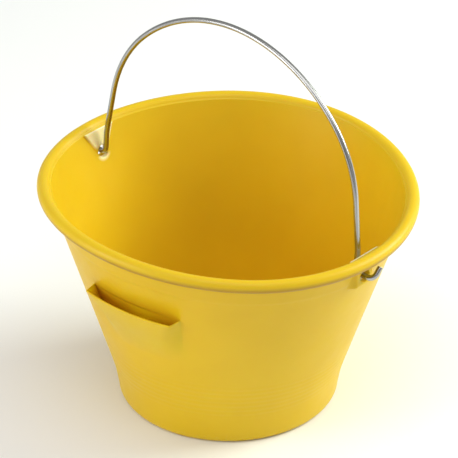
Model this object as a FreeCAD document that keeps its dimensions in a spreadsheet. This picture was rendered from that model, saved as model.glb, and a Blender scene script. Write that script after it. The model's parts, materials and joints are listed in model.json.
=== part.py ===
import FreeCAD, Part
import math
import os
import Sketcher
from FreeCAD import Placement, Rotation, Vector

# A builder's bucket: one moulded body and one bent wire bail.
# Frame: +X along the hinge axis of the bail, -Y the side with the finger grip, +Z up,
# origin at the middle of the foot ring, on the surface that the bucket stands on. Millimetres.

SIZES = {
    # Rim, wall and foot, as mean radii. The bail springs the soft rim into a slight oval along X,
    # and the rim dips where it is drawn out and rises in between.
    "height": 207.6,
    "rim_radius": 165.0,
    "bead_radius": 5.8,
    "oval_share": 0.040,
    "rim_dip": 3.7,
    "wall_thick": 3.0,
    "lip_drop": 4.2,
    "break_radius": 101.4,
    "break_height": 30.0,
    # Foot ring, moulded a little long and trimmed flat, and the floor held up inside it.
    "foot_radius": 97.5,
    "foot_round": 7.0,
    "foot_thick": 10.0,
    "foot_trim": 0.4,
    "floor_under": 6.0,
    "floor_thick": 3.2,
    # Hinge holes. Outside each, a boss with an upright face; inside, a facet that widens upwards.
    "hinge_height": 179.0,
    "hole_radius": 6.0,
    "boss_width": 26.0,
    "boss_low": 168.0,
    "boss_high": 193.0,
    "boss_reach": 158.0,
    "facet_x": 150.8,
    "facet_lean": 13.5,
    "facet_width": 36.0,
    "facet_rise": 21.5,
    "facet_thick": 4.0,
    # Finger grip: a pouch on the outside of the wall with a pocket open upwards.
    # Angles are about the bucket's middle; the pouch's ends draw in towards its lip.
    "grip_turn": 5.0,
    "grip_half_angle": 20.4,
    "grip_taper": 2.3,
    "grip_top": 150.0,
    "grip_foot": 97.0,
    "grip_depth": 12.5,
    "grip_skin": 2.3,
    "pouch_foot_depth": 0.4,
    "pouch_foot_draw": 2.0,
    "pocket_floor": 109.0,
    "pocket_end": 1.1,
    "pocket_foot_draw": 1.5,
    # Bail wire.
    "wire_radius": 2.5,
    "bail_lean": 5.0,
    "bail_rise": 173.3,
    "crown_radius": 154.5,
    "crown_half_angle": 45.0,
    "shoulder_radius": 116.0,
    "leg_lean": 8.1,
    "leg_x": 148.0,
    "knee_radius": 60.0,
    "elbow_radius": 6.0,
    "tail_x": 167.5,
    "tail_turn": 40.0,
    "tail_length": 12.5,
}
WALL_SECTIONS = 24
# Where the bead's outline leaves the outside of the wall, and where the lip meets it, in degrees.
BEAD_START = 215.0
BEAD_END = 180.0 - math.degrees(math.asin(1.0 - SIZES["lip_drop"] / SIZES["bead_radius"]))
# How much of the oval draws the wall in along the grip, whose middle is grip_turn off square.
GRIP_OVAL = -math.cos(math.radians(2 * (90.0 - SIZES["grip_turn"] - SIZES["grip_half_angle"] / 4)))

doc = FreeCAD.newDocument("bucket")
sheet = doc.addObject("Spreadsheet::Sheet", "sizes")
sheet.Label = "sizes"
for row, (alias, value) in enumerate(SIZES.items(), start=1):
    sheet.set(f"A{row}", alias)
    sheet.set(f"B{row}", str(value))
    sheet.setAlias(f"B{row}", alias)
doc.recompute()


# ---------------------------------------------------------------------------------------------
# Expressions, sketches and features
# ---------------------------------------------------------------------------------------------

def cell(alias):
    """The expression that reads one size from the sheet."""
    return f"<<sizes>>.{alias}"


def value_of(rule):
    """The number that an expression gives now."""
    return float(sheet.evalExpression(rule))


def new_sketch(body, name, role, offset=None):
    """An empty sketch on one of the body's own origin planes, such as XY_Plane."""
    sketch = body.newObject("Sketcher::SketchObject", name)
    plane = next(f for f in body.Origin.OriginFeatures if f.Role == role)
    sketch.AttachmentSupport = (plane, [""])
    sketch.MapMode = "FlatFace"
    if offset is not None:
        sketch.AttachmentOffset = offset
    return sketch


def raised_sketch(body, name, role, rule):
    """A sketch on a plane moved along its own normal by an expression."""
    sketch = new_sketch(body, name, role, Placement(Vector(0, 0, value_of(rule)), Rotation()))
    sketch.setExpression("AttachmentOffset.Base.z", rule)
    return sketch


def bind(sketch, constraint, name, rule):
    """Add a dimension to a sketch, name it and tie it to an expression."""
    index = sketch.addConstraint(constraint)
    sketch.renameConstraint(index, name)
    sketch.setExpression(f"Constraints.{name}", rule)


def limit(sketch, kind, elements, name, rule):
    """Add a dimension of a kind between elements, with the value of an expression."""
    bind(sketch, Sketcher.Constraint(kind, *elements, value_of(rule)), name, rule)


def pin_point(sketch, edge, end, name, rules):
    """Fix one end of an edge at a place worked out from the sheet."""
    limit(sketch, "DistanceX", (-1, 1, edge, end), f"{name}_x", rules[0])
    limit(sketch, "DistanceY", (-1, 1, edge, end), f"{name}_y", rules[1])


def fix_radius(sketch, edge, name, rule):
    """Give an arc or circle the radius that an expression gives."""
    limit(sketch, "Radius", (edge,), name, rule)


def arc_about(middle, radius, first, last):
    """A counterclockwise arc between two angles in degrees."""
    circle = Part.Circle(middle, Vector(0, 0, 1), radius)
    return Part.ArcOfCircle(circle, math.radians(first), math.radians(last))


def spot(rules):
    """The point that a pair of expressions gives."""
    return Vector(value_of(rules[0]), value_of(rules[1]), 0)


def draw_chain(sketch, chain, place):
    """Draw a closed chain of lines and arcs from point to point, join them and pin every point.

    chain maps each point's name to the arc that leaves it, or to None for a straight line."""
    names = list(chain)
    for name, after in zip(names, names[1:] + names[:1]):
        edge = chain[name] or Part.LineSegment(spot(place[name]), spot(place[after]))
        sketch.addGeometry(edge, False)
    for edge in range(len(names)):
        neighbour = (edge + 1) % len(names)
        sketch.addConstraint(Sketcher.Constraint("Coincident", edge, 2, neighbour, 1))
    for edge, name in enumerate(names):
        pin_point(sketch, edge, 1, name, place[name])


def draw_circle(sketch, rules, radius_rule):
    """Draw one circle with its middle and radius tied to expressions."""
    circle = Part.Circle(spot(rules), Vector(0, 0, 1), value_of(radius_rule))
    sketch.addGeometry(circle, False)
    pin_point(sketch, 0, 3, "middle", rules)
    fix_radius(sketch, 0, "radius", radius_rule)


def add_loft(body, name, kind, sections, closed=False):
    """A loft through sketches, added to the body or taken from it."""
    loft = body.newObject(f"PartDesign::{kind}Loft", name)
    loft.Profile = sections[0]
    loft.Sections = sections[1:]
    loft.Closed = closed
    doc.recompute()
    return loft


def add_pad(body, name, sketch, length_rule, reverse=False, midplane=False):
    """A pad whose length follows the sheet."""
    pad = body.newObject("PartDesign::Pad", name)
    pad.Profile = sketch
    pad.Reversed = reverse
    pad.Midplane = midplane
    pad.setExpression("Length", length_rule)
    return pad


def cut_through(body, name, sketch, midplane):
    """A pocket through everything on one side of its sketch, or on both."""
    pocket = body.newObject("PartDesign::Pocket", name)
    pocket.Profile = sketch
    pocket.Type = "ThroughAll"
    pocket.Midplane = midplane
    return pocket


# ---------------------------------------------------------------------------------------------
# The body's shape rules
# ---------------------------------------------------------------------------------------------

def oval(radius, height, angle):
    """Expression for a mean radius on the oval: none at the foot, all of it at the rim."""
    return f"({radius}) * (1 + {cell('oval_share')} * ({height}) / {cell('height')} * cos({2 * angle}))"


def dipped(height, angle):
    """Expression for a mean height with the rim's dip at the hinge ends."""
    return f"({height}) * (1 - {cell('rim_dip')} / {cell('height')} * cos({2 * angle}))"


BEAD_R = f"({cell('rim_radius')} - {cell('bead_radius')})"
BEAD_Z = f"({cell('height')} - {cell('bead_radius')})"
LIP_Z = f"({cell('height')} - {cell('lip_drop')})"
# How far the wall leans out for each millimetre that it rises.
WALL_LEAN = (f"(({BEAD_R} + {cell('bead_radius')} * cos({BEAD_START}) - {cell('break_radius')})"
             f" / ({BEAD_Z} + {cell('bead_radius')} * sin({BEAD_START}) - {cell('break_height')}))")
WALL_ACROSS = f"({cell('wall_thick')} * sqrt(1 + {WALL_LEAN} ^ 2))"


def wall_radius(height):
    """Expression for the mean outer radius of the wall at a height above the break."""
    return f"({cell('break_radius')} + {WALL_LEAN} * (({height}) - {cell('break_height')}))"


def wall_section(body, index):
    """The closed outline of foot, wall, lip and bead in the upright plane at one bearing."""
    angle = 360.0 / WALL_SECTIONS * (index + 0.5)
    turned = Placement(Vector(), Rotation(Vector(0, 1, 0), angle))
    sketch = new_sketch(body, f"wall_section_{index:02d}", "XZ_Plane", turned)
    foot, rounding, trim = cell("foot_radius"), cell("foot_round"), cell("foot_trim")
    # The ring's inside ends within the thickness of the floor that closes it.
    ring_top = f"{cell('floor_under')} + {cell('floor_thick')} / 2"
    corners = {
        "foot_in": (f"{foot} - {cell('foot_thick')}", f"-{trim}"),
        "foot_under": (f"{foot} - {rounding}", f"-{trim}"),
        "foot_out": (foot, f"{rounding} - {trim}"),
        "break_out": (cell("break_radius"), cell("break_height")),
        "lip": (f"{wall_radius(LIP_Z)} - {WALL_ACROSS}", LIP_Z),
        "break_in": (f"{cell('break_radius')} - {WALL_ACROSS}", cell("break_height")),
        "wall_in": (f"{foot} - {cell('wall_thick')}", ring_top),
        "ring_in": (f"{foot} - {cell('foot_thick')}", ring_top),
    }
    place = {name: (oval(r, z, angle), dipped(z, angle)) for name, (r, z) in corners.items()}
    bead_centre = (oval(BEAD_R, BEAD_Z, angle), dipped(BEAD_Z, angle))
    for name, turn in (("bead_start", BEAD_START), ("bead_end", BEAD_END)):
        place[name] = (f"{bead_centre[0]} + {cell('bead_radius')} * cos({turn})",
                       f"{bead_centre[1]} + {cell('bead_radius')} * sin({turn})")
    foot_centre = spot((f"{foot} - {rounding}", f"{rounding} - {trim}"))
    chain = {
        "foot_under": arc_about(foot_centre, SIZES["foot_round"], -90.0, 0.0),
        "foot_out": None,
        "break_out": None,
        "bead_start": arc_about(spot(bead_centre), SIZES["bead_radius"], BEAD_START - 360.0, BEAD_END),
        "bead_end": None,
        "lip": None,
        "break_in": None,
        "wall_in": None,
        "ring_in": None,
        "foot_in": None,
    }
    draw_chain(sketch, chain, place)
    fix_radius(sketch, list(chain).index("foot_under"), "foot_rounding", rounding)
    fix_radius(sketch, list(chain).index("bead_start"), "bead", cell("bead_radius"))
    return sketch


def grip_wall(height, depth):
    """Expression for the wall's radius on the grip's side, plus a depth."""
    drawn_in = f"(1 - {GRIP_OVAL} * {cell('oval_share')} * ({height}) / {cell('height')})"
    return f"({wall_radius(height)} * {drawn_in} + ({depth}))"


def grip_section(body, name, height, depth, half_angle):
    """A curved slot from inside the wall out to a depth, at one height, on the grip's bearing."""
    lift = Placement(Vector(), Rotation(Vector(0, 0, 1), SIZES["grip_turn"]))
    sketch = new_sketch(body, name, "XY_Plane", lift)
    sketch.setExpression("AttachmentOffset.Base.z", height)
    sketch.setExpression("AttachmentOffset.Rotation.Angle", cell("grip_turn"))
    inner = grip_wall(height, f"-{cell('wall_thick')} / 2")
    outer = grip_wall(height, depth)
    turns = {inner: half_angle, outer: f"({half_angle} - {cell('grip_taper')})"}
    ends = {}
    for edge, radius in enumerate((outer, inner)):
        turn = value_of(turns[radius])
        sketch.addGeometry(arc_about(Vector(), value_of(radius), 270.0 - turn, 270.0 + turn), False)
        sketch.addConstraint(Sketcher.Constraint("Coincident", edge, 3, -1, 1))
        fix_radius(sketch, edge, f"radius_{edge}", radius)
        for end, side in ((1, -1), (2, 1)):
            across = f"{side} * ({radius}) * sin({turns[radius]})"
            limit(sketch, "DistanceX", (-1, 1, edge, end), f"end_{edge}_{end}", across)
            ends[edge, end] = spot((across, f"-({radius}) * cos({turns[radius]})"))
    for edge, end in ((2, 2), (3, 1)):
        sketch.addGeometry(Part.LineSegment(ends[0, end], ends[1, end]), False)
        sketch.addConstraint(Sketcher.Constraint("Coincident", edge, 1, 0, end))
        sketch.addConstraint(Sketcher.Constraint("Coincident", edge, 2, 1, end))
    return sketch


def hinge_wall(height):
    """Expression for the middle of the wall's thickness at the hinge end of the oval."""
    drawn_out = f"(1 + {cell('oval_share')} * ({height}) / {cell('height')})"
    return f"(({wall_radius(height)} - {WALL_ACROSS} / 2) * {drawn_out})"


def add_boss(body, side, name):
    """The upright boss outside one hinge hole, which runs up into the bead; side is 1 or -1."""
    low, high, reach = cell("boss_low"), cell("boss_high"), cell("boss_reach")
    corners = {
        "low_in": (f"{side} * {hinge_wall(low)}", low),
        "low_out": (f"{side} * {reach}", low),
        "high_out": (f"{side} * {reach}", high),
        "high_in": (f"{side} * {hinge_wall(high)}", high),
    }
    profile = new_sketch(body, f"boss_{name}_profile", "XZ_Plane")
    draw_chain(profile, dict.fromkeys(corners), corners)
    add_pad(body, f"boss_{name}", profile, cell("boss_width"), midplane=True)


def add_facet(body, side, name):
    """The flat facet inside one hinge hole, widening from the hole up to the rim."""
    base = Vector(0, SIZES["hinge_height"], side * SIZES["facet_x"])
    lean = Rotation(Vector(side, 0, 0), SIZES["facet_lean"])
    outline = new_sketch(body, f"facet_{name}_outline", "YZ_Plane", Placement(base, lean))
    outline.setExpression("AttachmentOffset.Base.y", cell("hinge_height"))
    outline.setExpression("AttachmentOffset.Base.z", f"{side} * {cell('facet_x')}")
    outline.setExpression("AttachmentOffset.Rotation.Angle", cell("facet_lean"))
    corners = {
        "low_left": (f"-{cell('hole_radius')}", "0"),
        "low_right": (cell("hole_radius"), "0"),
        "high_right": (f"{cell('facet_width')} / 2", cell("facet_rise")),
        "high_left": (f"-{cell('facet_width')} / 2", cell("facet_rise")),
    }
    draw_chain(outline, dict.fromkeys(corners), corners)
    add_pad(body, f"facet_{name}", outline, cell("facet_thick"), reverse=side < 0)


# ---------------------------------------------------------------------------------------------
# bucket_body
# ---------------------------------------------------------------------------------------------

body = doc.addObject("PartDesign::Body", "bucket_body")
body.Label = "bucket_body"

# The grip is made first, so that the wall, added after it, closes the pocket's back.
pouch_foot_half = f"({cell('grip_half_angle')} - {cell('pouch_foot_draw')})"
pocket_half = f"({cell('grip_half_angle')} - {cell('pocket_end')})"
pocket_depth = f"{cell('grip_depth')} - {cell('grip_skin')}"
add_loft(body, "grip_pouch", "Additive", [
    grip_section(body, "pouch_top", cell("grip_top"), cell("grip_depth"), cell("grip_half_angle")),
    grip_section(body, "pouch_foot", cell("grip_foot"), cell("pouch_foot_depth"), pouch_foot_half),
])
add_loft(body, "grip_hollow", "Subtractive", [
    grip_section(body, "pocket_top", cell("grip_top"), pocket_depth, pocket_half),
    grip_section(body, "pocket_foot", cell("pocket_floor"), cell("pouch_foot_depth"),
                 f"({pocket_half} - {cell('pocket_foot_draw')})"),
])
wall_outlines = [wall_section(body, index) for index in range(WALL_SECTIONS)]
add_loft(body, "wall", "Additive", wall_outlines, closed=True)

# The foot ring is trimmed flat on the plane that the bucket stands on.
trim_sketch = new_sketch(body, "foot_plane", "XY_Plane")
draw_circle(trim_sketch, ("0", "0"), f"{cell('foot_radius')} + {cell('foot_thick')}")
cut_through(body, "foot_face", trim_sketch, midplane=False)

floor_sketch = raised_sketch(body, "floor_disc", "XY_Plane", cell("floor_under"))
draw_circle(floor_sketch, ("0", "0"), f"{cell('foot_radius')} - {cell('wall_thick')} / 2")
add_pad(body, "floor", floor_sketch, cell("floor_thick"))

for side, name in ((1, "right"), (-1, "left")):
    add_boss(body, side, name)
    add_facet(body, side, name)

# One drilling through both walls makes the hinge holes.
hole_sketch = new_sketch(body, "hinge_holes", "YZ_Plane")
draw_circle(hole_sketch, ("0", cell("hinge_height")), cell("hole_radius"))
body.Tip = cut_through(body, "hinge_drilling", hole_sketch, midplane=True)
doc.recompute()


# ---------------------------------------------------------------------------------------------
# wire_bail
# ---------------------------------------------------------------------------------------------

bail = doc.addObject("PartDesign::Body", "wire_bail")
bail.Label = "wire_bail"


def bail_sketch(name, turn_rule):
    """A sketch through the hinge axis, its y axis leant back from upright by an angle."""
    offset = Placement(Vector(0, SIZES["hinge_height"], 0), Rotation(Vector(-1, 0, 0), value_of(turn_rule)))
    sketch = new_sketch(bail, name, "XZ_Plane", offset)
    sketch.setExpression("AttachmentOffset.Base.y", cell("hinge_height"))
    sketch.setExpression("AttachmentOffset.Rotation.Angle", turn_rule)
    return sketch


def polar(middle, radius, angle):
    """The point at a distance and an angle in degrees from another point."""
    turned = math.radians(angle)
    return middle + Vector(radius * math.cos(turned), radius * math.sin(turned), 0)


def side_arc(middle, radius, low, high, side):
    """An arc between two angles on the +X side, or its mirror image on the -X side."""
    ends = sorted(angle if side > 0 else 180.0 - angle for angle in (low, high))
    return arc_about(Vector(side * middle.x, middle.y, 0), radius, *ends)


def draw_bail_side(sketch, side):
    """Shoulder, leaning leg, knee, upright foot, elbow and axle stub on one side of the crown.

    side is 1 for +X and -1 for -X; the crown arc is already edge 0 of the sketch."""
    crown = Vector(0, SIZES["bail_rise"] - SIZES["crown_radius"], 0)
    turn, lean = 90.0 - SIZES["crown_half_angle"], SIZES["leg_lean"]
    shoulder = polar(crown, SIZES["crown_radius"] - SIZES["shoulder_radius"], turn)
    leg_top = polar(shoulder, SIZES["shoulder_radius"], lean)
    knee_x = SIZES["leg_x"] - SIZES["knee_radius"]
    leg_foot_x = knee_x + SIZES["knee_radius"] * math.cos(math.radians(lean))
    leg_length = (leg_foot_x - leg_top.x) / math.sin(math.radians(lean))
    leg_foot = polar(leg_top, leg_length, lean - 90.0)
    knee = polar(leg_foot, SIZES["knee_radius"], lean + 180.0)
    foot_top = Vector(SIZES["leg_x"], knee.y, 0)
    elbow = Vector(SIZES["leg_x"] + SIZES["elbow_radius"], SIZES["elbow_radius"], 0)
    axle_end = Vector(SIZES["tail_x"] - SIZES["elbow_radius"], 0, 0)

    def line(first, last):
        ends = [Vector(side * point.x, point.y, 0) for point in (first, last)]
        sketch.addGeometry(Part.LineSegment(*ends), False)

    first_edge = sketch.GeometryCount
    sketch.addGeometry(side_arc(shoulder, SIZES["shoulder_radius"], lean, turn, side), False)
    line(leg_top, leg_foot)
    sketch.addGeometry(side_arc(knee, SIZES["knee_radius"], 0.0, lean, side), False)
    line(foot_top, Vector(SIZES["leg_x"], elbow.y, 0))
    sketch.addGeometry(side_arc(elbow, SIZES["elbow_radius"], 180.0, 270.0, side), False)
    line(Vector(elbow.x, 0, 0), axle_end)
    shoulder_arc, leg, knee_arc, foot, elbow_arc, axle = range(first_edge, first_edge + 6)

    # An arc's ends swap places in the mirror image: 1 is where it starts counterclockwise.
    upper, lower = (2, 1) if side > 0 else (1, 2)
    crown_end = 1 if side > 0 else 2
    elbow_in, elbow_out = (1, 2) if side > 0 else (2, 1)
    for edges in ((0, crown_end, shoulder_arc, upper), (shoulder_arc, lower, leg, 1),
                  (leg, 2, knee_arc, upper), (knee_arc, lower, foot, 1),
                  (foot, 2, elbow_arc, elbow_in), (elbow_arc, elbow_out, axle, 1)):
        sketch.addConstraint(Sketcher.Constraint("Tangent", *edges))
    tag = "right" if side > 0 else "left"
    fix_radius(sketch, shoulder_arc, f"shoulder_{tag}", cell("shoulder_radius"))
    fix_radius(sketch, knee_arc, f"knee_{tag}", cell("knee_radius"))
    fix_radius(sketch, elbow_arc, f"elbow_{tag}", cell("elbow_radius"))
    limit(sketch, "DistanceX", (-1, 1, 0, crown_end), f"crown_end_{tag}",
          f"{side} * {cell('crown_radius')} * sin({cell('crown_half_angle')})")
    limit(sketch, "DistanceX", (-1, 1, foot, 2), f"leg_{tag}", f"{side} * {cell('leg_x')}")
    limit(sketch, "DistanceX", (-1, 1, axle, 2), f"axle_{tag}",
          f"{side} * ({cell('tail_x')} - {cell('elbow_radius')})")
    sketch.addConstraint(Sketcher.Constraint("Vertical", foot))
    sketch.addConstraint(Sketcher.Constraint("PointOnObject", axle, 2, -1))
    sketch.addConstraint(Sketcher.Constraint("Horizontal", axle))
    lean_ends = (-2, 1, leg, 2) if side > 0 else (leg, 2, -2, 1)
    limit(sketch, "Angle", lean_ends, f"lean_{tag}", cell("leg_lean"))


def sweep_wire(name, x_rule, path):
    """Sweep the wire's round section, drawn where the path crosses x, along the path."""
    section = raised_sketch(bail, f"{name}_section", "YZ_Plane", x_rule)
    draw_circle(section, ("0", cell("hinge_height")), cell("wire_radius"))
    pipe = bail.newObject("PartDesign::AdditivePipe", name)
    pipe.Profile = section
    pipe.Spine = path


# The bail's own plane leans back a little from upright, as the bail is left standing.
arch = bail_sketch("bail_arch", cell("bail_lean"))
crown_centre = Vector(0, SIZES["bail_rise"] - SIZES["crown_radius"], 0)
crown_ends = (90.0 - SIZES["crown_half_angle"], 90.0 + SIZES["crown_half_angle"])
arch.addGeometry(arc_about(crown_centre, SIZES["crown_radius"], *crown_ends), False)
fix_radius(arch, 0, "crown_radius", cell("crown_radius"))
pin_point(arch, 0, 3, "crown", ("0", f"{cell('bail_rise')} - {cell('crown_radius')}"))
for side in (1, -1):
    draw_bail_side(arch, side)
stub = f"({cell('tail_x')} - {cell('elbow_radius')})"
sweep_wire("bail_wire", stub, arch)

# Outside the wall each end turns up into a short tail that keeps the bail in its hole.
for side, name in ((1, "right"), (-1, "left")):
    tail_path = bail_sketch(f"tail_{name}_path", f"({cell('bail_lean')} + {cell('tail_turn')})")
    bend = Vector(SIZES["tail_x"] - SIZES["elbow_radius"], SIZES["elbow_radius"], 0)
    tail_path.addGeometry(side_arc(bend, SIZES["elbow_radius"], -90.0, 0.0, side), False)
    ends = [Vector(side * SIZES["tail_x"], rise, 0) for rise in (bend.y, SIZES["tail_length"])]
    tail_path.addGeometry(Part.LineSegment(*ends), False)
    low, high = (1, 2) if side > 0 else (2, 1)
    tail_path.addConstraint(Sketcher.Constraint("Tangent", 0, high, 1, 1))
    fix_radius(tail_path, 0, "elbow", cell("elbow_radius"))
    pin_point(tail_path, 0, low, "bend", (f"{side} * {stub}", "0"))
    pin_point(tail_path, 1, 2, "tip", (f"{side} * {cell('tail_x')}", cell("tail_length")))
    sweep_wire(f"tail_{name}", f"{side} * {stub}", tail_path)
doc.recompute()


# ---------------------------------------------------------------------------------------------
# Checks and export
# ---------------------------------------------------------------------------------------------

for thing in doc.Objects:
    if {"Invalid", "Error"} & set(thing.State):
        raise SystemExit(f"{thing.Label} failed: {thing.State}")
os.makedirs("parts", exist_ok=True)
for piece in (body, bail):
    shape = piece.Shape
    if shape.isNull() or not shape.isValid() or len(shape.Solids) != 1:
        raise SystemExit(f"{piece.Label} is not one valid solid")
    print(f"{piece.Label}: {shape.Volume:.0f} mm3, {shape.BoundBox}")
    shape.exportStep(f"parts/{piece.Label}.step")
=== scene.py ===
import json
import math

import bmesh
import bpy
import numpy as np
from mathutils import Matrix, Vector


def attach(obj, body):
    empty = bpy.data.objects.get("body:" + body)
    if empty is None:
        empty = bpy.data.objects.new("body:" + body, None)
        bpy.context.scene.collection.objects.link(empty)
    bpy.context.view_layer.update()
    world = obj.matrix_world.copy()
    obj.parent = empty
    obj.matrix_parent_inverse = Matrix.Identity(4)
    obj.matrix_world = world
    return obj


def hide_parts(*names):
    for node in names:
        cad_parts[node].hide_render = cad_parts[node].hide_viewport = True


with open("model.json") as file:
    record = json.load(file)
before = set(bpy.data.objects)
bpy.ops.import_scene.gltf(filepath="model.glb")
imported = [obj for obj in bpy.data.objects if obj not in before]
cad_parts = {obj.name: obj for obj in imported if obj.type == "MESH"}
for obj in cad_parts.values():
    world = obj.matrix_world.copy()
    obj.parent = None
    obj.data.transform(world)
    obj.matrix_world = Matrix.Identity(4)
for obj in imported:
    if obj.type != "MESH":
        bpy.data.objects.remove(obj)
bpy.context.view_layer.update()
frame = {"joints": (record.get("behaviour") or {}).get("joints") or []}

# A builder's bucket: the moulded body and the wire bail, as fine meshes on the CAD frame.
# Shapes are worked out in millimetres and written to Blender in metres.
MM = 0.001

# Sizes that the body's shape rules use, the same as the CAD's.
HEIGHT, RIM_R, BEAD = 207.6, 165.0, 5.8
OVAL, DIP = 0.040, 3.7
WALL, LIP_DROP = 3.0, 4.2
BREAK_R, BREAK_Z, BREAK_SOFT = 101.4, 30.0, 4.0
FOOT_R, FOOT_ROUND, FOOT_THICK, FOOT_TRIM = 97.5, 7.0, 10.0, 0.4
FLOOR_UNDER, FLOOR_TOP, FLOOR_FILLET = 6.0, 9.2, 8.0
HINGE_Z = frame["joints"][0]["pos_m"][2] / MM
HOLE_R, HOLE_EDGE = 6.0, 0.5
BOSS_REACH, BOSS_LOW = 158.0, 168.0
FACET_X, FACET_SLOPE, FACET_TOP_HALF, FACET_RISE = 150.8, 0.24, 18.0, 21.0
GRIP_BEARING, GRIP_HALF, GRIP_TAPER = -85.0, 20.4, 2.3
GRIP_DEPTH, GRIP_SKIN = 12.5, 2.3

BEAD_R, BEAD_Z = RIM_R - BEAD, HEIGHT - BEAD
BEAD_START = math.radians(215.0)
LIP_Z = HEIGHT - LIP_DROP
BEAD_END = math.pi - math.asin((LIP_Z - BEAD_Z) / BEAD)
LEAN = ((BEAD_R + BEAD * math.cos(BEAD_START) - BREAK_R)
        / (BEAD_Z + BEAD * math.sin(BEAD_START) - BREAK_Z))
ACROSS = WALL * math.sqrt(1.0 + LEAN * LEAN)
# Heights along the grip and the hinges, taken back to mean heights, before the rim's dip.
GRIP_LIFT = 1.0 + 0.985 * DIP / HEIGHT
GRIP_TOP, GRIP_FOOT, POCKET_FLOOR = 150.0 / GRIP_LIFT, 95.0 / GRIP_LIFT, 108.0 / GRIP_LIFT
HINGE_MEAN = HINGE_Z / (1.0 - DIP / HEIGHT)


def smooth(a, b, x):
    """0 at a, 1 at b, and an S-curve in between."""
    t = np.clip((x - a) / (b - a), 0.0, 1.0)
    return t * t * (3.0 - 2.0 * t)


# ------------------------------------------------------------------------------------------------
# Body surface
# ------------------------------------------------------------------------------------------------

def soft_bend(z):
    """How far past the break a height is, with the corner rounded off."""
    return BREAK_SOFT * np.logaddexp(0.0, (z - BREAK_Z) / BREAK_SOFT)


def outer_mean(z):
    low = (BREAK_R - FOOT_R) / (BREAK_Z - FOOT_ROUND)
    return BREAK_R + low * (z - BREAK_Z) + (LEAN - low) * soft_bend(z)


def inner_mean(z):
    low = (BREAK_R - ACROSS - FOOT_R + WALL) / (BREAK_Z - FLOOR_UNDER - 1.6)
    return BREAK_R - ACROSS + low * (z - BREAK_Z) + (LEAN - low) * soft_bend(z)


def stand(r, z, theta, rise=0.0, out=0.0):
    """Points on the oval for a mean radius and height; rise and out are added after the oval."""
    c = np.cos(2.0 * theta)
    radius = r * (1.0 + OVAL * z / HEIGHT * c) + out
    height = z * (1.0 - DIP / HEIGHT * c) + rise
    return np.stack([radius * np.cos(theta), radius * np.sin(theta), height + 0.0 * theta], -1)


def from_grip(theta):
    """Degrees from the middle of the grip, rising towards +X."""
    return np.degrees((theta - math.radians(GRIP_BEARING) + math.pi) % (2.0 * math.pi) - math.pi)


def pouch_out(theta, z):
    """How far the pouch stands out of the wall: a crisp slanted end at the lip, blended below."""
    t = np.clip((z - GRIP_FOOT) / (GRIP_TOP - GRIP_FOOT), 0.0, 1.0)
    depth = GRIP_DEPTH * (0.45 * t + 0.55 * t * t * (3.0 - 2.0 * t))
    width = GRIP_TAPER + 9.0 * (1.0 - t) ** 0.6
    u = np.clip((GRIP_HALF - np.abs(from_grip(theta))) / width, 0.0, 1.0)
    return depth * (u + (u * u * (3.0 - 2.0 * u) - u) * np.sqrt(1.0 - t))


def dish_in(theta, z):
    """The wall is dished above the pocket, more and higher up towards the grip's +X end."""
    d = from_grip(theta)
    across = np.sqrt(np.clip(1.0 - (d / GRIP_HALF) ** 2, 0.0, 1.0))
    far = smooth(-8.0, 16.0, d)
    return (1.2 + 1.0 * far) * across * smooth(GRIP_TOP + 12.0 + 10.0 * far, GRIP_TOP - 3.0, z)


def edge_in(theta):
    """The small step at the pocket's upper edge, which fades out towards +X."""
    d = from_grip(theta)
    across = np.clip(1.0 - (d / GRIP_HALF) ** 4, 0.0, 1.0)
    return 0.9 * across * (1.0 - 0.8 * smooth(0.0, 16.0, d))


def moulding_marks(theta, z):
    """A slight thickening under the rim, and faint rings low on the wall."""
    collar = 0.35 * smooth(174.5, 177.5, z)
    band = smooth(26.0, 36.0, z) * (1.0 - smooth(60.0, 76.0, z))
    turn = 0.55 + 0.45 * np.cos(theta - math.radians(-50.0))
    rings = 0.16 * np.sin(2.0 * math.pi * z / 5.4 + 0.8 * np.sin(2.0 * theta))
    return collar + band * turn * rings


def boss(points):
    """Stand the boss round each hinge hole out to its upright face."""
    x, y, z = points[..., 0], points[..., 1], points[..., 2]
    window = (1.0 - smooth(9.6, 14.0, np.abs(y))) * smooth(BOSS_LOW - 2.0, BOSS_LOW + 3.5, z)
    proud = 0.7 * np.logaddexp(0.0, (BOSS_REACH - np.abs(x)) / 0.7)
    points[..., 0] = x + np.sign(x) * window * np.where(np.abs(x) > 100.0, proud, 0.0)
    return points


def facet(points):
    """Bring the inside forward to the facet between each hinge hole and the rim."""
    x, y, z = points[..., 0], points[..., 1], points[..., 2]
    half = HOLE_R + (FACET_TOP_HALF - HOLE_R) * (z - HINGE_Z) / FACET_RISE
    window = (1.0 - smooth(half - 0.9, half + 0.9, np.abs(y))) * smooth(HINGE_Z, HINGE_Z + 2.0, z)
    plane = FACET_X + FACET_SLOPE * (z - HINGE_Z)
    proud = 0.25 * np.logaddexp(0.0, (np.abs(x) - plane) / 0.25)
    points[..., 0] = x - np.sign(x) * window * np.where(np.abs(x) > 100.0, proud, 0.0)
    return points


def outer_wall(theta, z, on_pouch=False):
    r = outer_mean(z) + moulding_marks(theta, z)
    if on_pouch:
        out = pouch_out(theta, z)
    else:
        out = -dish_in(theta, z)
    return boss(stand(r, z, theta, out=out))


def inner_wall(theta, z):
    return facet(stand(inner_mean(z), z, theta))


WALL_START_R = 155.0


def wall_at(side, y, z, surface, mean_radius):
    """The point of a wall surface at a given y and z at one hinge end."""
    theta, mean = np.arcsin(y / WALL_START_R), z + 0.0 * y
    for _ in range(6):
        c = np.cos(2.0 * theta)
        mean = z / (1.0 - DIP / HEIGHT * c)
        radius = mean_radius(mean) * (1.0 + OVAL * mean / HEIGHT * c)
        theta = np.arcsin(y / radius)
    bearing = theta if side > 0 else math.pi - theta
    return surface(bearing, mean)


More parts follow.
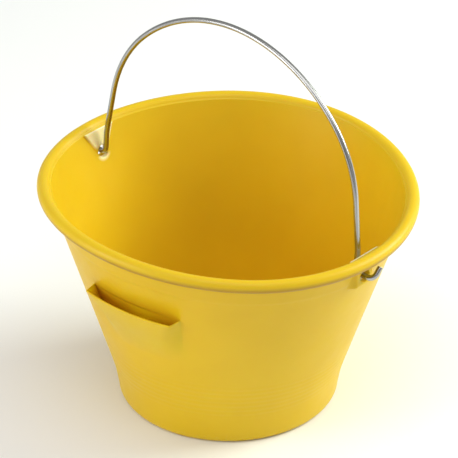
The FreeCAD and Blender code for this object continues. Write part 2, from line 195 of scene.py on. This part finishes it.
# ------------------------------------------------------------------------------------------------
# Body mesh: a grid of bearings by profile rows, with round hinge holes and the open pocket let in
# ------------------------------------------------------------------------------------------------

def spread(first, last, step):
    """Evenly spaced values from first up to but without last."""
    count = max(1, round(abs(last - first) / step))
    return [first + (last - first) * i / count for i in range(count)]


EAR_STEP = 0.42
EAR_CELLS, HOLE_CELLS = 20, 7
ear = [EAR_STEP * (k + 0.5) for k in range(-EAR_CELLS, EAR_CELLS)]
grip_low, grip_high = GRIP_BEARING - GRIP_HALF, GRIP_BEARING + GRIP_HALF
bearings = [-180.0 + a for a in ear if a > 0]
bearings += spread(bearings[-1], grip_low, 1.7)[1:]
bearings += spread(grip_low, grip_low + 3.3, 0.3)
bearings += spread(grip_low + 3.3, grip_high - 3.3, 0.85)
bearings += spread(grip_high - 3.3, grip_high, 0.3)
bearings += spread(grip_high, ear[0], 1.7)
bearings += ear
bearings += spread(ear[-1], 180.0 + ear[0], 1.7)[1:]
bearings += [180.0 + a for a in ear if a < 0]
THETA = np.radians(np.array(bearings))
N = len(THETA)

EAR_ROW, EAR_ROWS = 1.14, 13
ear_rows = [HINGE_MEAN + EAR_ROW * (k + 0.5) for k in range(-EAR_ROWS, EAR_ROWS)]
rows, marks = [], {}


def add_row(points, mark=None):
    if mark is not None:
        marks[mark] = len(rows)
    rows.append(points)


for r in (6.0, 16.0, 30.0, 44.0, 58.0, 70.0, 80.0):
    add_row(stand(r + 0.0 * THETA, FLOOR_TOP, THETA))
fillet_r = inner_mean(FLOOR_TOP + FLOOR_FILLET) - FLOOR_FILLET
for turn in np.radians(spread(-90.0, 0.0, 13.0)):
    r = fillet_r + FLOOR_FILLET * math.cos(turn)
    z = FLOOR_TOP + FLOOR_FILLET * (1.0 + math.sin(turn))
    add_row(stand(r + 0.0 * THETA, z, THETA))
for z in (spread(FLOOR_TOP + FLOOR_FILLET, 44.0, 3.2) + spread(44.0, ear_rows[0], 6.0)):
    add_row(inner_wall(THETA, z))
for index, z in enumerate(ear_rows):
    add_row(inner_wall(THETA, z), ("in", index))
for z in spread(ear_rows[-1], LIP_Z - 0.5, 1.3)[1:] + [LIP_Z - 0.5, LIP_Z - 0.1]:
    add_row(inner_wall(THETA, z))
for turn in np.linspace(BEAD_END, BEAD_START - 2.0 * math.pi, 27):
    flat = {"rise": BEAD * math.sin(turn), "out": BEAD * math.cos(turn)}
    add_row(stand(BEAD_R + 0.0 * THETA, BEAD_Z, THETA, **flat))
bead_foot = BEAD_Z + BEAD * math.sin(BEAD_START)
for z in spread(bead_foot - 0.6, ear_rows[-1], 0.9):
    add_row(outer_wall(THETA, z))
for index, z in reversed(list(enumerate(ear_rows))):
    add_row(outer_wall(THETA, z), ("out", index))
for z in spread(ear_rows[0], GRIP_TOP, 1.8)[1:]:
    add_row(outer_wall(THETA, z))
add_row(outer_wall(THETA, GRIP_TOP), "slit")
for z in (spread(GRIP_TOP - 2.2, GRIP_TOP - 9.0, 1.4) + spread(GRIP_TOP - 9.0, GRIP_FOOT, 2.3)
          + spread(GRIP_FOOT, 25.0, 1.35) + spread(25.0, FOOT_ROUND, 2.4)):
    add_row(outer_wall(THETA, z, on_pouch=True))
foot_mid = FOOT_ROUND - FOOT_TRIM
flat_edge = math.asin(foot_mid / FOOT_ROUND)
for turn in np.linspace(0.0, -flat_edge, 9):
    r = FOOT_R - FOOT_ROUND + FOOT_ROUND * math.cos(turn)
    add_row(stand(r + 0.0 * THETA, foot_mid + FOOT_ROUND * math.sin(turn), THETA))
inside = FOOT_R - FOOT_THICK
for r, z in ((FOOT_R - FOOT_ROUND, 0.0), (inside + 0.5, 0.0), (inside + 0.15, 0.15),
             (inside, 0.5), (inside, FLOOR_UNDER - 1.4), (inside - 0.4, FLOOR_UNDER - 0.4),
             (inside - 1.4, FLOOR_UNDER), (80.0, FLOOR_UNDER), (60.0, FLOOR_UNDER),
             (42.0, FLOOR_UNDER), (26.0, FLOOR_UNDER), (12.0, FLOOR_UNDER), (7.0, FLOOR_UNDER),
             (6.4, FLOOR_UNDER - 0.5), (3.0, FLOOR_UNDER - 0.6)):
    add_row(stand(r + 0.0 * THETA, z, THETA))

M = len(rows)
blocks = [np.concatenate(rows)]
total = M * N
grid = np.arange(total).reshape(M, N)


def add_points(points):
    """Add loose points and give their indices."""
    global total
    points = np.asarray(points, float).reshape(-1, 3)
    blocks.append(points)
    total += len(points)
    return np.arange(total - len(points), total)


faces = []


def band(upper, lower, closed=False):
    """Faces between two lines of indices; faces that have shrunk to a line are left out."""
    count = len(upper)
    for j in range(count if closed else count - 1):
        k = (j + 1) % count
        face = [int(upper[j]), int(upper[k]), int(lower[k]), int(lower[j])]
        corners = [v for i, v in enumerate(face) if v != face[i - 1]]
        if len(set(corners)) >= 3:
            faces.append(corners)


# The pocket: from the slit's lower edge over the lip, down inside the pouch and up the wall.
offset = from_grip(THETA)
slit = marks["slit"]
in_slit = [j for j in range(N) if abs(offset[j]) < GRIP_HALF - 1e-6]
first, last = in_slit[0] - 1, in_slit[-1] + 1
cut = THETA[in_slit]
reach = pouch_out(cut, GRIP_TOP)
ease = np.clip(reach / 3.0, 0.0, 1.0)


def grip_points(z, out):
    r = outer_mean(z) + moulding_marks(cut, z)
    return stand(r, z, cut, out=out)


def slit_line(points):
    return np.concatenate([[grid[slit, first]], add_points(points), [grid[slit, last]]])


lip_round = GRIP_SKIN / 2.0
lip_lines = []
for turn in np.radians((0.0, 35.0, 65.0, 90.0, 115.0, 145.0, 180.0)):
    z = GRIP_TOP + ease * lip_round * (math.sin(turn) - 1.0)
    out = reach - ease * lip_round * (1.0 - math.cos(turn))
    lip_lines.append(slit_line(grip_points(z, out)))
pocket_low = GRIP_TOP - (GRIP_TOP - POCKET_FLOOR) * np.sqrt(np.clip(reach / GRIP_DEPTH * 1.2, 0.0, 1.0))
back = -dish_in(cut, GRIP_TOP - 4.0) - edge_in(cut)
for share in (0.05, 0.12, 0.22, 0.35, 0.5, 0.65, 0.8, 0.92, 1.0):
    z = GRIP_TOP - ease * lip_round + (pocket_low - GRIP_TOP) * share
    front = np.maximum(pouch_out(cut, z) - GRIP_SKIN * ease, back + 0.3 * ease)
    lip_lines.append(slit_line(grip_points(z, front)))
for share in (1.0, 0.85, 0.65, 0.45, 0.3, 0.17, 0.08, 0.03):
    z = GRIP_TOP - ease * 0.9 + (pocket_low - GRIP_TOP) * share
    lip_lines.append(slit_line(grip_points(z, back + 0.0 * z)))
for drop, step in ((0.5, 0.85), (0.2, 0.45)):
    z = GRIP_TOP - ease * drop
    lip_lines.append(slit_line(grip_points(z, -dish_in(cut, GRIP_TOP) - edge_in(cut) * step)))
for a, b in zip(lip_lines, lip_lines[1:]):
    band(a, b)
band(lip_lines[-1], grid[slit, first:last + 1])

# The grid, without the squares round the hinge holes.
hole_columns = {
    1: [j for j in range(N) if abs(math.degrees(THETA[j])) < EAR_STEP * (HOLE_CELLS + 0.6)],
    -1: [j for j in range(N) if math.degrees(THETA[j]) > 180.0 - EAR_STEP * (HOLE_CELLS + 0.6)]
        + [j for j in range(N) if math.degrees(THETA[j]) < -180.0 + EAR_STEP * (HOLE_CELLS + 0.6)],
}
hole_rows = list(range(EAR_ROWS - HOLE_CELLS - 1, EAR_ROWS + HOLE_CELLS + 1))
holes = set()
for layer in ("in", "out"):
    line = sorted(marks[layer, k] for k in hole_rows)
    for columns in hole_columns.values():
        for i in line[:-1]:
            for j in columns[:-1]:
                holes.add((i, j))
for i in range(M - 1):
    upper, lower = grid[i].copy(), grid[i + 1]
    if i == slit:
        upper[in_slit] = lip_lines[0][1:-1]
    for j in range(N):
        if (i, j) not in holes:
            k = (j + 1) % N
            faces.append([int(upper[j]), int(upper[k]), int(lower[k]), int(lower[j])])
for row, height in ((0, FLOOR_TOP), (M - 1, FLOOR_UNDER - 0.6)):
    pole = int(add_points([[0.0, 0.0, height]])[0])
    for j in range(N):
        faces.append([pole, int(grid[row, j]), int(grid[row, (j + 1) % N])])

# Round holes: rings from each square in to the circle, eased over the edge and joined through.
for side, columns in hole_columns.items():
    ends = {}
    for layer, surface, mean_radius in (("in", inner_wall, inner_mean), ("out", outer_wall, outer_mean)):
        at = [marks[layer, k] for k in hole_rows]
        loop = ([grid[at[0], j] for j in columns[:-1]] + [grid[i, columns[-1]] for i in at[:-1]]
                + [grid[at[-1], j] for j in columns[:0:-1]] + [grid[i, columns[0]] for i in at[:0:-1]])
        corners = np.concatenate(blocks)[loop]
        y, z = corners[:, 1], corners[:, 2] - HINGE_Z
        turn = np.arctan2(z, y)
        line = np.array(loop)
        for share in (0.35, 0.7, 1.0):
            ring_y = y + (np.cos(turn) * (HOLE_R + HOLE_EDGE) - y) * share
            ring_z = z + (np.sin(turn) * (HOLE_R + HOLE_EDGE) - z) * share
            points = wall_at(side, ring_y, ring_z + HINGE_Z, surface, mean_radius)
            points[:, 1], points[:, 2] = ring_y, ring_z + HINGE_Z
            fresh = add_points(points)
            band(line, fresh, closed=True)
            line = fresh
        inward = -side if layer == "out" else side
        for share in (0.3, 0.7, 1.0):
            lean_in = math.radians(90.0 * share)
            radius = HOLE_R + HOLE_EDGE * (1.0 - math.sin(lean_in))
            ring = points.copy()
            ring[:, 0] += inward * HOLE_EDGE * (1.0 - math.cos(lean_in))
            ring[:, 1], ring[:, 2] = np.cos(turn) * radius, np.sin(turn) * radius + HINGE_Z
            fresh = add_points(ring)
            band(line, fresh, closed=True)
            line = fresh
        ends[layer] = (line, ring)
    (inner_line, inner_ring), (outer_line, outer_ring) = ends["in"], ends["out"]
    line = inner_line
    for share in (1 / 3, 2 / 3):
        fresh = add_points(inner_ring + (outer_ring - inner_ring) * share)
        band(line, fresh, closed=True)
        line = fresh
    band(line, outer_line, closed=True)


def mesh_object(name, points, polygons):
    """A smooth-shaded mesh object, in metres, without unused points and facing outwards."""
    used = np.unique(np.concatenate([np.array(f) for f in polygons]))
    fresh = np.full(len(points), -1)
    fresh[used] = np.arange(len(used))
    mesh = bpy.data.meshes.new(name)
    mesh.from_pydata((points[used] * MM).tolist(), [], [[int(fresh[v]) for v in f] for f in polygons])
    work = bmesh.new()
    work.from_mesh(mesh)
    bmesh.ops.recalc_face_normals(work, faces=work.faces)
    open_edges = sum(1 for e in work.edges if len(e.link_faces) != 2)
    if open_edges:
        raise RuntimeError(f"{name} has {open_edges} open edges")
    work.to_mesh(mesh)
    work.free()
    mesh.shade_smooth()
    obj = bpy.data.objects.new(name, mesh)
    bpy.context.scene.collection.objects.link(obj)
    return obj


bucket = mesh_object("bucket_moulding", np.concatenate(blocks), faces)

# ------------------------------------------------------------------------------------------------
# Bail: one round wire swept along the CAD's line
# ------------------------------------------------------------------------------------------------

WIRE_R = 2.5
BAIL_LEAN, TAIL_LEAN = math.radians(5.0), math.radians(45.0)
BAIL_RISE, CROWN_R, CROWN_HALF = 173.3, 154.5, 45.0
SHOULDER_R, LEG_LEAN, LEG_X, KNEE_R = 116.0, 8.1, 148.0, 60.0
ELBOW_R, TAIL_X, TAIL_LENGTH = 6.0, 167.5, 12.5


def polar(middle, radius, degrees):
    turn = math.radians(degrees)
    return (middle[0] + radius * math.cos(turn), middle[1] + radius * math.sin(turn))


def arc_points(middle, radius, first, last, step):
    count = max(2, round(abs(last - first) / step))
    return [polar(middle, radius, first + (last - first) * i / count) for i in range(count + 1)]


crown = (0.0, BAIL_RISE - CROWN_R)
shoulder = polar(crown, CROWN_R - SHOULDER_R, 90.0 - CROWN_HALF)
leg_top = polar(shoulder, SHOULDER_R, LEG_LEAN)
leg_foot_x = LEG_X - KNEE_R + KNEE_R * math.cos(math.radians(LEG_LEAN))
leg_length = (leg_foot_x - leg_top[0]) / math.sin(math.radians(LEG_LEAN))
leg_foot = polar(leg_top, leg_length, LEG_LEAN - 90.0)
knee = polar(leg_foot, KNEE_R, LEG_LEAN + 180.0)
half = arc_points(crown, CROWN_R, 90.0, 90.0 - CROWN_HALF, 1.8)
half += arc_points(shoulder, SHOULDER_R, 90.0 - CROWN_HALF, LEG_LEAN, 2.4)[1:]
leg = np.linspace(leg_top, leg_foot, 14)[1:]
half += [tuple(p) for p in leg]
half += arc_points(knee, KNEE_R, LEG_LEAN, 0.0, 2.0)[1:]
half += [tuple(p) for p in np.linspace((LEG_X, knee[1]), (LEG_X, ELBOW_R), 6)[1:]]
half += arc_points((LEG_X + ELBOW_R, ELBOW_R), ELBOW_R, 180.0, 270.0, 11.0)[1:]
half += [tuple(p) for p in np.linspace((LEG_X + ELBOW_R, 0.0), (TAIL_X - ELBOW_R, 0.0), 4)[1:]]
tail = arc_points((TAIL_X - ELBOW_R, ELBOW_R), ELBOW_R, -90.0, 0.0, 11.0)[1:]
tail += [tuple(p) for p in np.linspace((TAIL_X, ELBOW_R), (TAIL_X, TAIL_LENGTH), 4)[1:]]


def leant(points, lean):
    return [(x, h * math.sin(lean), HINGE_Z + h * math.cos(lean)) for x, h in points]


right = leant(half, BAIL_LEAN) + leant(tail, TAIL_LEAN)
left = [(-x, y, z) for x, y, z in right[:0:-1]]
line = np.array(left + right)
steps = np.linalg.norm(np.diff(line, axis=0), axis=1)
along = np.concatenate([[0.0], np.cumsum(steps)])
tangent = np.gradient(line, axis=0)
tangent /= np.linalg.norm(tangent, axis=1)[:, None]
SIDES = 20
normal = np.array([0.0, 1.0, 0.0])
rings, turns = [], np.linspace(0.0, 2.0 * math.pi, SIDES, endpoint=False)
# Each cut end has a small bevel; a ring's reach past the end and its radius.
end_rings = [(0.0, 0.35), (0.0, WIRE_R - 0.45), (0.2, WIRE_R - 0.12), (0.45, WIRE_R)]
frames = []
for i in range(len(line)):
    normal = normal - tangent[i] * float(normal @ tangent[i])
    normal /= np.linalg.norm(normal)
    frames.append((normal.copy(), np.cross(tangent[i], normal)))


def ring_at(i, radius, shift=0.0):
    a, b = frames[i]
    middle = line[i] + tangent[i] * shift
    return middle + radius * (np.cos(turns)[:, None] * a + np.sin(turns)[:, None] * b)


lengths = []
for shift, radius in end_rings:
    rings.append(ring_at(0, radius, shift))
    lengths.append(shift)
for i in range(1, len(line) - 1):
    rings.append(ring_at(i, WIRE_R))
    lengths.append(along[i])
for shift, radius in reversed(end_rings):
    rings.append(ring_at(len(line) - 1, radius, -shift))
    lengths.append(along[-1] - shift)
wire_points = np.concatenate(rings + [line[:1], line[-1:]])
wire_faces = []
for i in range(len(rings) - 1):
    for j in range(SIDES):
        k = (j + 1) % SIDES
        wire_faces.append([i * SIDES + j, i * SIDES + k, (i + 1) * SIDES + k, (i + 1) * SIDES + j])
base = len(rings) * SIDES
for j in range(SIDES):
    k = (j + 1) % SIDES
    wire_faces.append([base, k, j])
    wire_faces.append([base + 1, (len(rings) - 1) * SIDES + j, (len(rings) - 1) * SIDES + k])
wire = mesh_object("bail_wire", wire_points, wire_faces)

# Length along the wire and angle round it, for the drawn streaks.
uv = wire.data.uv_layers.new(name="drawn")
length_of = np.concatenate([np.repeat(lengths, SIDES), [0.0, along[-1]]])
turn_of = np.concatenate([np.tile(np.arange(SIDES) / SIDES, len(rings)), [0.0, 0.0]])
for polygon in wire.data.polygons:
    corners = [wire.data.loops[i].vertex_index for i in polygon.loop_indices]
    wraps = any(turn_of[v] > 0.9 for v in corners)
    for loop_index, v in zip(polygon.loop_indices, corners):
        around = turn_of[v] + (1.0 if wraps and turn_of[v] < 0.1 else 0.0)
        uv.data[loop_index].uv = (length_of[v] * MM, around)

# ------------------------------------------------------------------------------------------------
# Materials
# ------------------------------------------------------------------------------------------------


class Nodes:
    """Short calls for building a material's node tree."""

    def __init__(self, name):
        self.material = bpy.data.materials.new(name)
        self.material.use_nodes = True
        self.tree = self.material.node_tree
        self.tree.nodes.clear()
        self.shader = self.add("ShaderNodeBsdfPrincipled")
        output = self.add("ShaderNodeOutputMaterial")
        self.link(self.shader.outputs[0], output.inputs["Surface"])

    def add(self, kind, **values):
        node = self.tree.nodes.new(kind)
        for key, value in values.items():
            setattr(node, key, value)
        return node

    def link(self, source, target):
        self.tree.links.new(source, target)

    def noise(self, where, scale, detail=3.0, rough=0.5, stretch=(1.0, 1.0, 1.0)):
        mapping = self.add("ShaderNodeMapping")
        mapping.inputs["Scale"].default_value = stretch
        self.link(where, mapping.inputs["Vector"])
        node = self.add("ShaderNodeTexNoise")
        node.inputs["Scale"].default_value = scale
        node.inputs["Detail"].default_value = detail
        node.inputs["Roughness"].default_value = rough
        self.link(mapping.outputs[0], node.inputs["Vector"])
        return node.outputs["Fac"]

    def span(self, value, low, high, to_low, to_high):
        node = self.add("ShaderNodeMapRange")
        for key, number in (("From Min", low), ("From Max", high), ("To Min", to_low), ("To Max", to_high)):
            node.inputs[key].default_value = number
        self.link(value, node.inputs["Value"])
        return node.outputs["Result"]

    def math(self, operation, *values):
        node = self.add("ShaderNodeMath", operation=operation)
        for socket, value in zip(node.inputs, values):
            if isinstance(value, (int, float)):
                socket.default_value = value
            else:
                self.link(value, socket)
        return node.outputs[0]

    def ramp(self, value, stops):
        node = self.add("ShaderNodeValToRGB")
        elements = node.color_ramp.elements
        while len(elements) < len(stops):
            elements.new(0.5)
        for element, (position, colour) in zip(elements, stops):
            element.position = position
            element.color = (*colour, 1.0)
        self.link(value, node.inputs["Fac"])
        return node.outputs["Color"]

    def mix(self, factor, a, b):
        node = self.add("ShaderNodeMix", data_type="RGBA")
        self.link(factor, node.inputs[0])
        for socket, value in ((node.inputs[6], a), (node.inputs[7], b)):
            if isinstance(value, tuple):
                socket.default_value = (*value, 1.0)
            else:
                self.link(value, socket)
        return node.outputs[2]

    def bump(self, height, strength, distance, base=None):
        node = self.add("ShaderNodeBump")
        node.inputs["Strength"].default_value = strength
        node.inputs["Distance"].default_value = distance
        self.link(height, node.inputs["Height"])
        if base is not None:
            self.link(base, node.inputs["Normal"])
        return node.outputs["Normal"]


# How fast the pale facet patch widens with height, on each side. The patch is partly stress-whitening and
# partly a painted highlight.
FACET_SPREAD = 0.57


def yellow_plastic():
    n = Nodes("yellow_plastic_look")
    where = n.add("ShaderNodeTexCoord").outputs["Object"]
    cloud = n.noise(where, 9.0, 4.0)
    colour = n.ramp(cloud, [(0.30, (0.680, 0.450, 0.009)), (0.52, (0.712, 0.480, 0.010)),
                            (0.75, (0.740, 0.508, 0.011))])
    # Flow marks run up the wall from the middle of the floor.
    flow = n.noise(where, 26.0, 3.0, 0.6, (1.0, 1.0, 0.12))
    colour = n.mix(n.span(flow, 0.5, 0.8, 0.0, 0.25), colour, (0.668, 0.440, 0.009))
    # Painted shade: the downward-facing underside of the rim bead is darkened to stand in for its shadow;
    # the rim dips towards the hinges.
    parts = n.add("ShaderNodeSeparateXYZ")
    n.link(where, parts.inputs[0])
    sideways = n.math("DIVIDE", parts.outputs["X"], RIM_R * MM)
    level = n.math("MULTIPLY_ADD", n.math("MULTIPLY", sideways, sideways), DIP * MM, parts.outputs["Z"])
    facing = n.add("ShaderNodeSeparateXYZ")
    n.link(n.add("ShaderNodeTexCoord").outputs["Normal"], facing.inputs[0])
    under = n.span(facing.outputs["Z"], -0.30, 0.25, 1.0, 0.0)
    rim_underside_shade = n.math("MULTIPLY", under, n.span(level, 0.1940, 0.1965, 0.0, 0.70))
    # Mix the painted shade under the rim bead into the colour.
    colour = n.mix(rim_underside_shade, colour, (0.330, 0.160, 0.010))
    # Fine scuffs on the foot, where it is set down.
    low = n.span(parts.outputs["Z"], 0.0, 0.012, 1.0, 0.0)
    scuff = n.span(n.noise(where, 420.0, 4.0, 0.7), 0.55, 0.72, 0.0, 1.0)
    worn = n.math("MULTIPLY", n.math("MULTIPLY", low, scuff), 0.55)
    colour = n.mix(worn, colour, (0.720, 0.560, 0.160))
    # Pale patches on the facet and on the hole's lower edge: partly plastic whitened where the bail works
    # it, partly a painted highlight.
    across = n.math("ABSOLUTE", parts.outputs["Y"], 0.0)
    reach = n.math("ABSOLUTE", parts.outputs["X"], 0.0)
    above = n.math("SUBTRACT", parts.outputs["Z"], HINGE_Z * MM)
    half = n.math("MULTIPLY_ADD", above, FACET_SPREAD, HOLE_R * MM)
    facet_whitening_and_highlight = n.span(n.math("SUBTRACT", half, across), -0.0006, 0.0022, 0.0, 0.80)
    facet_whitening_and_highlight = n.math("MULTIPLY", facet_whitening_and_highlight, n.span(above, 0.0035, 0.0075, 0.0, 1.0))
    facet_whitening_and_highlight = n.math("MULTIPLY", facet_whitening_and_highlight, n.span(reach, 0.1566, 0.1574, 1.0, 0.0))
    from_hole = n.math("POWER", n.math("ADD", n.math("MULTIPLY", across, across),
                                       n.math("MULTIPLY", above, above)), 0.5)
    lip_whitening_and_highlight = n.math("MULTIPLY", n.span(from_hole, 0.0060, 0.0090, 0.75, 0.0),
                       n.span(above, -0.002, -0.005, 0.0, 1.0))
    lip_whitening_and_highlight = n.math("MULTIPLY", lip_whitening_and_highlight, n.span(reach, 0.1525, 0.1540, 1.0, 0.0))
    # Mix in the pale patches, which are stress-whitening plus a painted highlight.
    colour = n.mix(n.math("MAXIMUM", facet_whitening_and_highlight, lip_whitening_and_highlight), colour, (0.930, 0.880, 0.560))
    n.link(colour, n.shader.inputs["Base Color"])
    rough = n.span(n.noise(where, 60.0, 4.0, 0.6), 0.3, 0.7, 0.34, 0.44)
    rough = n.math("ADD", rough, n.math("MULTIPLY", worn, 0.3))
    n.link(rough, n.shader.inputs["Roughness"])
    grain = n.bump(n.noise(where, 900.0, 2.0, 0.5), 0.10, 0.0002)
    wave = n.bump(n.noise(where, 34.0, 2.0, 0.5), 0.25, 0.0006, grain)
    n.link(wave, n.shader.inputs["Normal"])
    n.shader.inputs["IOR"].default_value = 1.5
    n.shader.inputs["Specular IOR Level"].default_value = 0.26
    n.shader.inputs["Subsurface Weight"].default_value = 0.35
    n.shader.inputs["Subsurface Radius"].default_value = (1.0, 0.60, 0.10)
    n.shader.inputs["Subsurface Scale"].default_value = 0.006
    return n.material


def galvanised_wire():
    n = Nodes("galvanised_wire_look")
    drawn = n.add("ShaderNodeUVMap", uv_map="drawn").outputs["UV"]
    streak = n.noise(drawn, 30.0, 4.0, 0.6, (0.8, 0.9, 1.0))
    where = n.add("ShaderNodeTexCoord").outputs["Object"]
    spangle = n.noise(where, 240.0, 3.0, 0.6)
    colour = n.ramp(streak, [(0.30, (0.26, 0.26, 0.26)), (0.50, (0.42, 0.42, 0.41)),
                             (0.72, (0.62, 0.62, 0.60))])
    colour = n.mix(n.span(spangle, 0.5, 0.75, 0.0, 0.4), colour, (0.40, 0.40, 0.39))
    n.link(colour, n.shader.inputs["Base Color"])
    n.link(n.span(streak, 0.3, 0.7, 0.16, 0.30), n.shader.inputs["Roughness"])
    fine = n.bump(n.noise(drawn, 60.0, 3.0, 0.6, (0.6, 1.0, 1.0)), 0.15, 0.0002)
    n.link(n.bump(spangle, 0.10, 0.0002, fine), n.shader.inputs["Normal"])
    n.shader.inputs["Metallic"].default_value = 1.0
    return n.material


bucket.data.materials.append(yellow_plastic())
wire.data.materials.append(galvanised_wire())

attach(bucket, "bucket")
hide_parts("bucket_body")
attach(wire, "bail")
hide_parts("wire_bail")

# ------------------------------------------------------------------------------------------------
# Floor, light and camera
# ------------------------------------------------------------------------------------------------

floor_mesh = bpy.data.meshes.new("floor")
floor_mesh.from_pydata([(-6, -6, 0), (6, -6, 0), (6, 6, 0), (-6, 6, 0)], [], [(0, 1, 2, 3)])
floor = bpy.data.objects.new("floor", floor_mesh)
bpy.context.scene.collection.objects.link(floor)
paper = Nodes("pale_floor")
paper.shader.inputs["Base Color"].default_value = (0.90, 0.90, 0.90, 1.0)
paper.shader.inputs["Roughness"].default_value = 0.8
paper.shader.inputs["Specular IOR Level"].default_value = 0.2
floor.data.materials.append(paper.material)

# The camera's right, away and up, in the row frame.
RIGHT, AWAY, UP = Vector((0.7334, 0.6797, 0)), Vector((-0.6797, 0.7334, 0)), Vector((0, 0, 1))


LIGHTS_AIM = Vector((0.0, 0.0, 0.12))


def area_light(name, right, away, up, size, energy, tint=(1.0, 1.0, 1.0)):
    data = bpy.data.lights.new(name, "AREA")
    data.shape = "RECTANGLE"
    data.size = data.size_y = size
    data.energy = energy
    data.color = tint
    light = bpy.data.objects.new(name, data)
    light.location = RIGHT * right + AWAY * away + UP * up
    aim = LIGHTS_AIM - light.location
    light.rotation_euler = aim.to_track_quat("-Z", "Y").to_euler()
    bpy.context.scene.collection.objects.link(light)


area_light("key_right", 1.75, 0.40, 1.25, 1.2, 46.0, (0.94, 1.0, 0.90))
area_light("top_soft", -0.1, -0.7, 1.9, 1.4, 12.0)
area_light("fill_left", -1.8, -0.6, 0.7, 1.0, 15.0)

world = bpy.data.worlds.new("studio")
world.use_nodes = True
world.node_tree.nodes["Background"].inputs["Color"].default_value = (1.0, 1.0, 1.0, 1.0)
world.node_tree.nodes["Background"].inputs["Strength"].default_value = 0.45
bpy.context.scene.world = world

CAMERA_AT = Vector((2.0191, -2.1786, 1.9888))
AIM_AT = Vector((0.00073, 0.00068, 0.1601))
SENSOR, FOCAL_SHARE, ROLL = 36.0, 4000.0 / 458.0, math.radians(-0.19)
camera_data = bpy.data.cameras.new("camera")
camera_data.sensor_width = SENSOR
camera_data.lens = FOCAL_SHARE * SENSOR
camera_data.clip_end = 50.0
camera = bpy.data.objects.new("camera", camera_data)
look = (AIM_AT - CAMERA_AT).to_track_quat("-Z", "Y").to_matrix().to_4x4()
camera.matrix_world = Matrix.Translation(CAMERA_AT) @ look @ Matrix.Rotation(ROLL, 4, "Z")
bpy.context.scene.collection.objects.link(camera)
bpy.context.scene.camera = camera
bpy.context.scene.view_settings.view_transform = "Standard"
